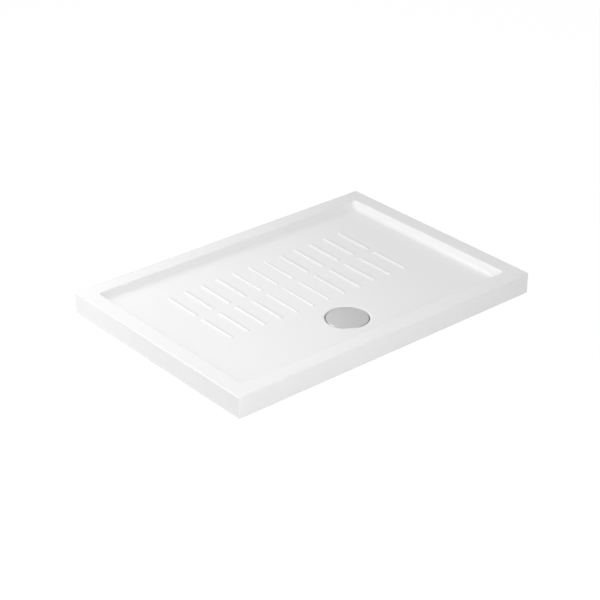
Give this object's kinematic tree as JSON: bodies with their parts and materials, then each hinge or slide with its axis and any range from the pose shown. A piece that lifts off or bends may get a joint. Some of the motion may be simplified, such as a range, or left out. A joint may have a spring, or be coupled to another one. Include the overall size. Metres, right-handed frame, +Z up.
{
  "type": "shower tray",
  "caption": "Low rectangular glazed ceramic shower tray with a flat rim, falling floor, two rows of anti-slip ribs and a round waste under a lift-off metal cover.",
  "frame": {"origin": "middle of the underside, on the surface that the tray stands on", "axes": "+X along the long side, +Y from the front long side (nearer the waste) to the back one, +Z up"},
  "size_m": [1, 0.7, 0.06],
  "materials": {
    "glaze": "glossy",
    "cover_metal": "satin plated",
    "carrier_plastic": "moulded",
    "sieve_plastic": "moulded",
    "flange_steel": "pressed",
    "screw_steel": "bright",
    "insert_brass": "turned",
    "body_plastic": "moulded",
    "gasket_rubber": "matt",
    "seal_rubber": "matt"
  },
  "bodies": {
    "tray": {"tray": "glaze", "waste_body": "body_plastic", "outlet_seal": "seal_rubber", "body_gasket": "gasket_rubber", "flange_gasket": "gasket_rubber", "waste_flange": "flange_steel", "flange_screws": "screw_steel", "screw_inserts": "insert_brass"},
    "cover": {"waste_cover": "cover_metal", "cover_carrier": "carrier_plastic", "hair_sieve": "sieve_plastic"}
  },
  "joints": [
    {"name": "cover_lift", "type": "slide", "parent": "tray", "child": "cover", "axis": [0, 0, 1], "range_m": [0, 0.08]}
  ]
}
